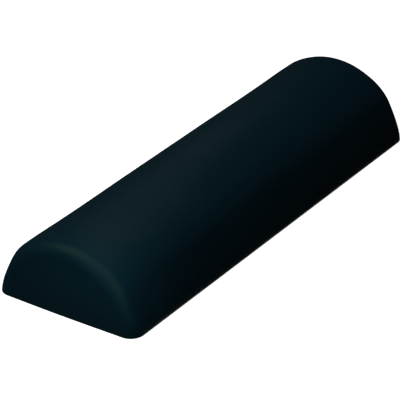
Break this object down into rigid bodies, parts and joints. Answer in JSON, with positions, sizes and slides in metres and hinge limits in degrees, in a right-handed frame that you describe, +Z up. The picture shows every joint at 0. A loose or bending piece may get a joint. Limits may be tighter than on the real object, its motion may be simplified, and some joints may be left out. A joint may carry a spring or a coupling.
{
  "type": "half round foam roller",
  "caption": "Half round foam roller with rolled end edges, a dark moulded skin over soft pads and a firm foam core, and a zip recessed in its flat base.",
  "frame": {"origin": "on the surface that the roller stands on, under the middle of its length and width", "axes": "+Y along the roller, with the zip's slider towards -Y; +X across it; +Z up"},
  "size_m": [0.152, 0.4656, 0.0706],
  "materials": {
    "skin": "smooth dark blue-green vinyl with a soft satin sheen",
    "base_vinyl": "matt embossed vinyl",
    "soft_foam": "soft open foam",
    "firm_foam": "firm closed-cell foam",
    "zip_tape": "fine woven tape",
    "zip_teeth": "moulded teeth",
    "patch_vinyl": "matt vinyl patch",
    "zip_metal": "dark lacquered zinc"
  },
  "bodies": {
    "roller": {"moulded_skin": "skin", "base_panel": "base_vinyl", "crown_pad": "soft_foam", "end_pad_near": "soft_foam", "end_pad_far": "soft_foam", "firm_core": "firm_foam", "zip_tape_left": "zip_tape", "zip_tape_right": "zip_tape", "zip_teeth_left": "zip_teeth", "zip_teeth_right": "zip_teeth", "zip_top_stop_left": "zip_teeth", "zip_top_stop_right": "zip_teeth", "zip_bottom_stop": "zip_teeth", "zip_end_patch_near": "patch_vinyl", "zip_end_patch_far": "patch_vinyl"},
    "slider": {"zip_slider": "zip_metal"},
    "pull": {"zip_pull": "zip_metal"}
  },
  "joints": [
    {"name": "zip_travel", "type": "slide", "parent": "roller", "child": "slider", "axis": [0, 1, 0], "range_m": [0, 0.333], "deforming": ["zip_teeth_left", "zip_teeth_right"]},
    {"name": "pull_flip", "type": "hinge", "parent": "slider", "child": "pull", "pos_m": [0, -0.1701, 0.00237], "axis": [-1, 0, 0], "range_deg": [0, 180]}
  ]
}
